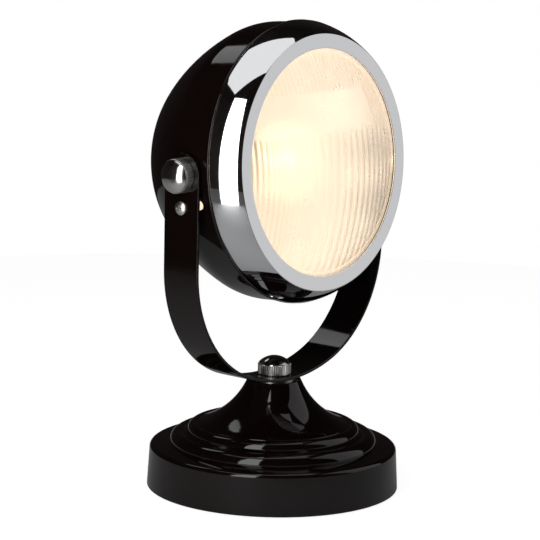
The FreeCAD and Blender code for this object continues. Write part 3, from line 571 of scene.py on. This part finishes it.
gland_cap = turned([
    (gland_bore, gland_end),
    (gland_bore, cap_end),
    (gland_cap_radius - gland_cap_round, cap_end),
    (gland_cap_radius, cap_end + gland_cap_round, gland_cap_round, 1),
    (gland_cap_radius, gland_end - cap_lip),
    (gland_cap_radius, gland_end),
], around=cap_grooves * groove_steps, step=10.0)
for vert in gland_cap.verts:
    around = round(math.atan2(vert.co.y, vert.co.x) / math.tau * cap_grooves * groove_steps) % groove_steps
    past_lip = vert.co.z < (gland_end - cap_lip / 2) * mm
    on_side = vert.co.xy.length > (gland_cap_radius - 0.01) * mm
    if on_side and past_lip and around in (0, 1, groove_steps - 1):
        vert.co.xy *= 1 - groove_depth / gland_cap_radius * (1.0 if around == 0 else 0.6)
finished(gland_cap, "cord_gland_cap", "head", ["gland_cap"], moulded, in_head,
         broken_edge=0.15)

# Lamp holder. A phenolic barrel with a brass screw sleeve and a sprung centre contact, carried on a
# threaded brass nipple that a washer and nut hold to the back of the shell.

phenolic, phenolic_shader = new_finish("dark_phenolic", (0.03, 0.022, 0.018), 0.0, 0.3)
mixed_colour(phenolic, phenolic_shader, noise(phenolic, 6.0, detail=5.0), (0.022, 0.015, 0.012),
             (0.04, 0.03, 0.024))
spread(phenolic, noise(phenolic, 3.0), phenolic_shader.inputs["Roughness"], 0.25, 0.4)
dress(phenolic, "lamp_holder")
dress(brass, "holder_sleeve", "holder_contact", "holder_nipple", "nipple_nut")
dress(zinc, "terminal_screws", "nipple_washer")

# Bulb. A blown glass globe, bright from within, on a rolled brass screw cap with a black glass insulator
# and a solder-tipped contact; inside, a glass stem carries the filament on its supports.

bulb_radius, bulb_tip, bulb_wall = 22.5, 26.5, 0.6
waist_turn = math.radians(43.5)
bulb_neck, bulb_neck_top, bulb_neck_end = 6.45, 23.6, 29.0
bulb_centre = bulb_tip - bulb_radius

bulb_glass, bulb_shader = new_finish("lit_bulb_glass", (0.95, 0.9, 0.8), 0.0, 0.15)
bulb_shader.inputs["Emission Color"].default_value = (1.0, 0.88, 0.66, 1)
bulb_shader.inputs["Emission Strength"].default_value = 0.4
bulb_shader.inputs["Alpha"].default_value = 0.35
hot_wire, hot_shader = new_finish("glowing_filament", (0.5, 0.45, 0.4), 1.0, 0.4)
hot_shader.inputs["Emission Color"].default_value = (1.0, 0.88, 0.66, 1)
hot_shader.inputs["Emission Strength"].default_value = 16.0
spread(hot_wire, noise(hot_wire, 1.0), hot_shader.inputs["Roughness"], 0.35, 0.5)
spread(bulb_glass, noise(bulb_glass, 5.0), bulb_shader.inputs["Roughness"], 0.1, 0.2)


def waist(radius):
    """Where a sphere of this radius about the bulb's centre runs into the neck."""
    return (radius * math.sin(waist_turn), bulb_centre - radius * math.cos(waist_turn))


finished(turned([
    (bulb_neck - bulb_wall, -bulb_neck_end),
    (bulb_neck, -bulb_neck_end),
    (bulb_neck, -bulb_neck_top),
    waist(bulb_radius),
    (0, bulb_tip, bulb_radius, 1),
    (0, bulb_tip - bulb_wall),
    (*waist(bulb_radius - bulb_wall), bulb_radius - bulb_wall, -1),
    (bulb_neck - bulb_wall, -bulb_neck_top + bulb_wall / 2),
], around=64), "bulb_globe", "bulb", ["bulb_glass"], bulb_glass, in_head,
    broken_edge=0, crease=60.0)

vitrite, vitrite_shader = new_finish("black_insulator", (0.01, 0.01, 0.012), 0.0, 0.12)
spread(vitrite, noise(vitrite, 2.0), vitrite_shader.inputs["Roughness"], 0.08, 0.2)
clear_stem, stem_shader = new_finish("clear_stem", (0.95, 0.96, 0.95), 0.0, 0.05)
stem_shader.inputs["Transmission Weight"].default_value = 1.0
spread(clear_stem, noise(clear_stem, 3.0), stem_shader.inputs["Roughness"], 0.02, 0.08)
dress(brass, "bulb_cap", "bulb_contact")
dress(vitrite, "bulb_insulator")
dress(clear_stem, "bulb_stem")
dress(hot_wire, "bulb_filament")

# Bezel. A brass ring, spun to a curved band and a flat front face, polished and chrome-plated. Behind
# it a collar and three leaf springs push into the drum's mouth and hold it there.

bezel_proud, bezel_edge, bezel_wall, seam_gap = 0.9, 0.6, 1.0, 0.25
bezel_front, bezel_face, bezel_opening, bezel_round = 35.3, 74.4, 66.0, 50.0
bezel_radius = head_radius + bezel_proud
bezel_back = mouth_depth + seam_gap

chrome, chrome_shader = new_finish("polished_chrome", (0.86, 0.87, 0.89), 1.0, 0.04)
spread(chrome, noise(chrome, 30.0), chrome_shader.inputs["Roughness"], 0.02, 0.06)
relief(chrome, chrome_shader, noise(chrome, 14.0, detail=1.0), 0.002)

finished(turned([
    (bezel_radius - bezel_wall, bezel_back, bezel_round - bezel_wall, -1),
    (bezel_radius - bezel_edge, bezel_back),
    (bezel_radius, bezel_back + bezel_edge, bezel_edge, 1),
    (bezel_face, bezel_front, bezel_round, 1),
    (bezel_opening, bezel_front),
    (bezel_opening, bezel_front - bezel_wall),
    (bezel_face - bezel_wall, bezel_front - bezel_wall),
], around=288, step=1.2), "chromed_bezel_ring", "bezel", ["bezel_ring"], chrome, in_head,
    broken_edge=0.3, crease=30.0)
# The collar and the lens retainer take the same white paint, with its painted glow.
dress(white_paint_painted_glow, "bezel_collar", "lens_retainer")
dress(zinc, "bezel_springs")

rubber, rubber_shader = new_finish("black_rubber", (0.015, 0.014, 0.014), 0.0, 0.7)
relief(rubber, rubber_shader, noise(rubber, 0.8), 0.02)
spread(rubber, noise(rubber, 4.0), rubber_shader.inputs["Roughness"], 0.6, 0.8)
dress(rubber, "lens_gasket")

# Lens. Pressed glass, domed, with upright flutes moulded into its back to spread the beam: fine ones at
# the top and the far left, wide ones below, and a plain band between them with a sloping end.

lens_seat, lens_thickness, lens_rise, lens_taper = 33.5, 3.0, 16.0, 1.7
lens_edge, lens_dome = 70.0, 65.2
lens_hollow = lens_dome - lens_taper
wide_pitch, fine_pitch = 6.25, 3.125
wide_depth, fine_depth, band_border = 0.16, 0.36, 1.6
wide_start, flute_offset, flute_fade = -42.0, 1.4, 1.5
# Painted shade: darker lines on the glass at the flutes' joints, at the wide flutes' crests and along the
# plain band's sloping end.
joint_shade_sharpness, crest_shade_sharpness, wide_joint_shade, wide_crest_shade = 8, 16, 0.5, 0.45
band_low, band_high = 17.5, 41.5
band_end_high, band_end_low = 30.0, 39.0
columns, rows = 250, 110


def disc_of_columns(radius):
    """A disc whose grid lines stay upright: every column of a square grid is shortened to the circle."""
    bm = bmesh.new()
    bmesh.ops.create_grid(bm, x_segments=columns, y_segments=rows, size=radius * mm)
    for vert in bm.verts:
        share = min(abs(vert.co.x) / (radius * mm), 1.0)
        vert.co.y *= math.sqrt(1 - share * share)
    bmesh.ops.remove_doubles(bm, verts=bm.verts, dist=0.005 * mm)
    return bm


def dome_height(radius, across, up):
    """Height of a dome of the lens's rise, at a point inside its edge."""
    ball = (radius ** 2 + lens_rise ** 2) / (2 * lens_rise)
    return math.sqrt(max(ball ** 2 - across ** 2 - up ** 2, 0)) - (ball - lens_rise)


def flute(across, up):
    """How far a flute stands in from the back of the glass in millimetres, and how dark a painted shade line
    it carries.
    """
    band_end = band_end_high + (band_end_low - band_end_high) * (band_high - up) / (band_high - band_low)
    if band_low < up < band_high and across < band_end + band_border:
        return 0.0, 1.0 if across > band_end else 0.0
    wide = up < band_low and across > wide_start
    pitch, depth = (wide_pitch, wide_depth) if wide else (fine_pitch, fine_depth)
    place = (across - flute_offset) / pitch * math.pi
    joint = math.cos(place) ** joint_shade_sharpness
    if wide:
        joint = wide_joint_shade * joint + wide_crest_shade * math.sin(place) ** crest_shade_sharpness
    return depth * math.sin(place) ** 2, joint


glass_back = disc_of_columns(lens_hollow)
painted_shade_mark = glass_back.verts.layers.float.new("flute_painted_shade")
for vert in glass_back.verts:
    across, up = vert.co.x / mm, vert.co.y / mm
    inset = min(1.0, max(0.0, (lens_hollow - math.hypot(across, up)) / flute_fade))
    depth, vert[painted_shade_mark] = flute(across, up)
    vert.co.z = (lens_seat - lens_thickness + dome_height(lens_hollow, across, up) - depth * inset) * mm
bmesh.ops.reverse_faces(glass_back, faces=glass_back.faces)
back_mesh = bpy.data.meshes.new("glass_back")
glass_back.to_mesh(back_mesh)
glass_back.free()

lens = disc_of_columns(lens_dome)
painted_shade_mark = lens.verts.layers.float.new("flute_painted_shade")
for vert in lens.verts:
    across, up = vert.co.x / mm, vert.co.y / mm
    vert[painted_shade_mark] = flute(across, up)[1]
    vert.co.z = (lens_seat + dome_height(lens_dome, across, up)) * mm
rim_edges = [edge for edge in lens.edges if edge.is_boundary]
for radius, height in ((lens_edge, lens_seat), (lens_edge, lens_seat - lens_thickness),
                       (lens_hollow, lens_seat - lens_thickness)):
    grown = bmesh.ops.extrude_edge_only(lens, edges=rim_edges)
    rim_edges = [part for part in grown["geom"] if isinstance(part, bmesh.types.BMEdge)]
    for vert in {vert for edge in rim_edges for vert in edge.verts}:
        vert.co.xy = vert.co.xy.normalized() * radius * mm
        vert.co.z = height * mm
lens.from_mesh(back_mesh)
bmesh.ops.remove_doubles(lens, verts=lens.verts, dist=0.02 * mm)
bmesh.ops.recalc_face_normals(lens, faces=lens.faces)
bpy.data.meshes.remove(back_mesh)

glass, glass_shader = new_finish("pressed_glass", (1.0, 0.985, 0.95), 0.0, 0.3)
glass_shader.inputs["Transmission Weight"].default_value = 1.0
glass_shader.inputs["IOR"].default_value = 1.5
spread(glass, noise(glass, 12.0), glass_shader.inputs["Roughness"], 0.26, 0.34)
# Painted shade: the glass is tinted darker along the flute lines, standing in for the light the flutes bend.
joints = glass.node_tree.nodes.new("ShaderNodeAttribute")
joints.attribute_name = "flute_painted_shade"
mixed_colour(glass, glass_shader, joints.outputs["Fac"], (1.0, 0.985, 0.95), (0.9, 0.84, 0.74), 0.0, 1.0)
finished(lens, "fluted_lens", "bezel", ["lens"], glass, in_head, broken_edge=0, crease=75.0)

# Studio. The camera looks from the left of the lens, a little above it. Round the lamp come a pale floor,
# a white background with dark drapes, and four soft lamps at a plain level.

camera_turn, camera_rise, camera_roll = math.radians(-50.225), math.radians(10.546), math.radians(1.203)
camera_distance = 1549.064 * mm
aim_right, aim_height = -3.846 * mm, 130.803 * mm
away = Vector((math.sin(camera_turn) * math.cos(camera_rise), -math.cos(camera_turn) * math.cos(camera_rise),
               math.sin(camera_rise)))
level = Vector((math.cos(camera_turn), math.sin(camera_turn), 0))
camera = bpy.data.objects.new("camera", bpy.data.cameras.new("camera"))
bpy.context.scene.collection.objects.link(camera)
camera.data.sensor_width = 36.0
camera.data.lens = 174.75
sideways = Matrix((level, away.cross(level), away)).transposed().to_4x4()
stand = level * aim_right + Vector((0, 0, aim_height)) + away * camera_distance
camera.matrix_world = Matrix.Translation(stand) @ sideways @ Matrix.Rotation(camera_roll, 4, "Z")
bpy.context.scene.camera = camera


def prop(name, bm, material):
    """A thing of the studio that is no part of the lamp."""
    mesh = bpy.data.meshes.new(name)
    bm.to_mesh(mesh)
    bm.free()
    mesh.materials.append(material)
    thing = bpy.data.objects.new(name, mesh)
    bpy.context.scene.collection.objects.link(thing)
    return thing


def background_rays(tree, shine=None):
    """1 on rays from the camera and on rays through glass, the shine or 1 on glossy rays, else 0."""
    path = tree.nodes.new("ShaderNodeLightPath")
    glossy = tree.nodes.new("ShaderNodeMath")
    glossy.operation = "MULTIPLY"
    glossy.inputs[1].default_value = 1.0
    tree.links.new(path.outputs["Is Glossy Ray"], glossy.inputs[0])
    if shine:
        tree.links.new(shine, glossy.inputs[1])
    either, any_of_three = tree.nodes.new("ShaderNodeMath"), tree.nodes.new("ShaderNodeMath")
    either.operation = any_of_three.operation = "MAXIMUM"
    tree.links.new(path.outputs["Is Camera Ray"], either.inputs[0])
    tree.links.new(glossy.outputs[0], either.inputs[1])
    tree.links.new(either.outputs[0], any_of_three.inputs[0])
    tree.links.new(path.outputs["Is Transmission Ray"], any_of_three.inputs[1])
    return any_of_three.outputs[0]


# Floor. A round pale table top, blown out to the white of the background. Polish shows it dimmer than the
# eye does, and dimmest in front of the lamp.

floor_radius, falloff_start, falloff_end = 0.78, 0.13, 0.24
floor_level, floor_extra, near_shine, front_shine = 0.5, 0.9, 0.08, 0.009

floor_paint, floor_shader = new_finish("white_table", (floor_level,) * 3, 0.0, 0.8)
floor_shader.inputs["Emission Color"].default_value = (1, 1, 1, 1)
tree = floor_paint.node_tree
where = tree.nodes.new("ShaderNodeTexCoord")
forward = tree.nodes.new("ShaderNodeVectorMath")
forward.operation = "DOT_PRODUCT"
forward.inputs[1].default_value = (math.sin(camera_turn), -math.cos(camera_turn), 0)
tree.links.new(where.outputs["Object"], forward.inputs[0])
falloff = tree.nodes.new("ShaderNodeMapRange")
falloff.interpolation_type = "SMOOTHSTEP"
falloff.inputs["From Min"].default_value = falloff_start
falloff.inputs["From Max"].default_value = falloff_end
falloff.inputs["To Min"].default_value = near_shine
falloff.inputs["To Max"].default_value = front_shine
tree.links.new(forward.outputs["Value"], falloff.inputs["Value"])
glow = tree.nodes.new("ShaderNodeMath")
glow.operation = "MULTIPLY"
glow.inputs[1].default_value = floor_extra
tree.links.new(background_rays(tree, falloff.outputs["Result"]), glow.inputs[0])
tree.links.new(glow.outputs[0], floor_shader.inputs["Emission Strength"])

disc = bmesh.new()
bmesh.ops.create_circle(disc, cap_ends=True, segments=128, radius=floor_radius)
prop("floor", disc, floor_paint)

# Backdrop. A white room, and in it dark drapes all round and overhead, so that the chrome and the enamel
# have something dark to show between the lamps. The camera looks past the drapes.

world = bpy.data.worlds.new("white_room")
bpy.context.scene.world = world
world.use_nodes = True
room = world.node_tree.nodes["Background"]
room.inputs["Color"].default_value = (1, 1, 1, 1)
room_level = world.node_tree.nodes.new("ShaderNodeMapRange")
room_level.inputs["To Min"].default_value = 0.3
room_level.inputs["To Max"].default_value = 1.0
world.node_tree.links.new(background_rays(world.node_tree), room_level.inputs["Value"])
world.node_tree.links.new(room_level.outputs["Result"], room.inputs["Strength"])

drape_radius, drape_top, drape_foot = 2.1, 2.6, -1.2
cloth, cloth_shader = new_finish("dark_drapes", (0.24, 0.2, 0.195), 0.0, 1.0)
mixed_colour(cloth, cloth_shader, noise(cloth, 300.0), (0.22, 0.18, 0.175), (0.26, 0.22, 0.215))
tent = bmesh.new()
bmesh.ops.create_cone(tent, cap_ends=True, cap_tris=True, segments=90, radius1=drape_radius,
                      radius2=drape_radius, depth=drape_top - drape_foot)
bmesh.ops.translate(tent, vec=(0, 0, (drape_top + drape_foot) / 2), verts=tent.verts)
drapes = prop("dark_drapes", tent, cloth)
drapes.visible_camera = drapes.visible_transmission = False


def softbox(name, turn, rise, distance, width, height, radiance, centre=(0, 0, 0.2), shape="RECTANGLE"):
    """A soft lamp that faces the head, its brightness given as it is seen."""
    light = bpy.data.lights.new(name, "AREA")
    light.shape = shape
    light.size, light.size_y = width, height
    light.energy = radiance * math.pi * width * height
    turn, rise = math.radians(turn), math.radians(rise)
    out = Vector((math.sin(turn) * math.cos(rise), -math.cos(turn) * math.cos(rise), math.sin(rise)))
    lamp = bpy.data.objects.new(name, light)
    lamp.location = Vector(centre) + out * distance
    lamp.rotation_euler = out.to_track_quat("Z", "Y").to_euler()
    lamp.visible_camera = False
    bpy.context.scene.collection.objects.link(lamp)


# Lamps. A tall strip close on the left, a soft box overhead, a large one in front on the right, and a small
# oval one high behind.

softbox("strip", turn=-76, rise=0, distance=0.37, width=0.17, height=0.75, radiance=3.5,
        centre=(-0.078, -0.03, 0.375))
softbox("overhead", turn=-118, rise=85, distance=1.03, width=0.68, height=1.1, radiance=0.85)
softbox("right", turn=45, rise=24, distance=1.3, width=1.1, height=1.8, radiance=0.62)
softbox("behind", turn=168, rise=46, distance=1.25, width=0.38, height=0.27, radiance=1.05, shape="ELLIPSE")

bpy.context.scene.view_settings.view_transform = "Standard"
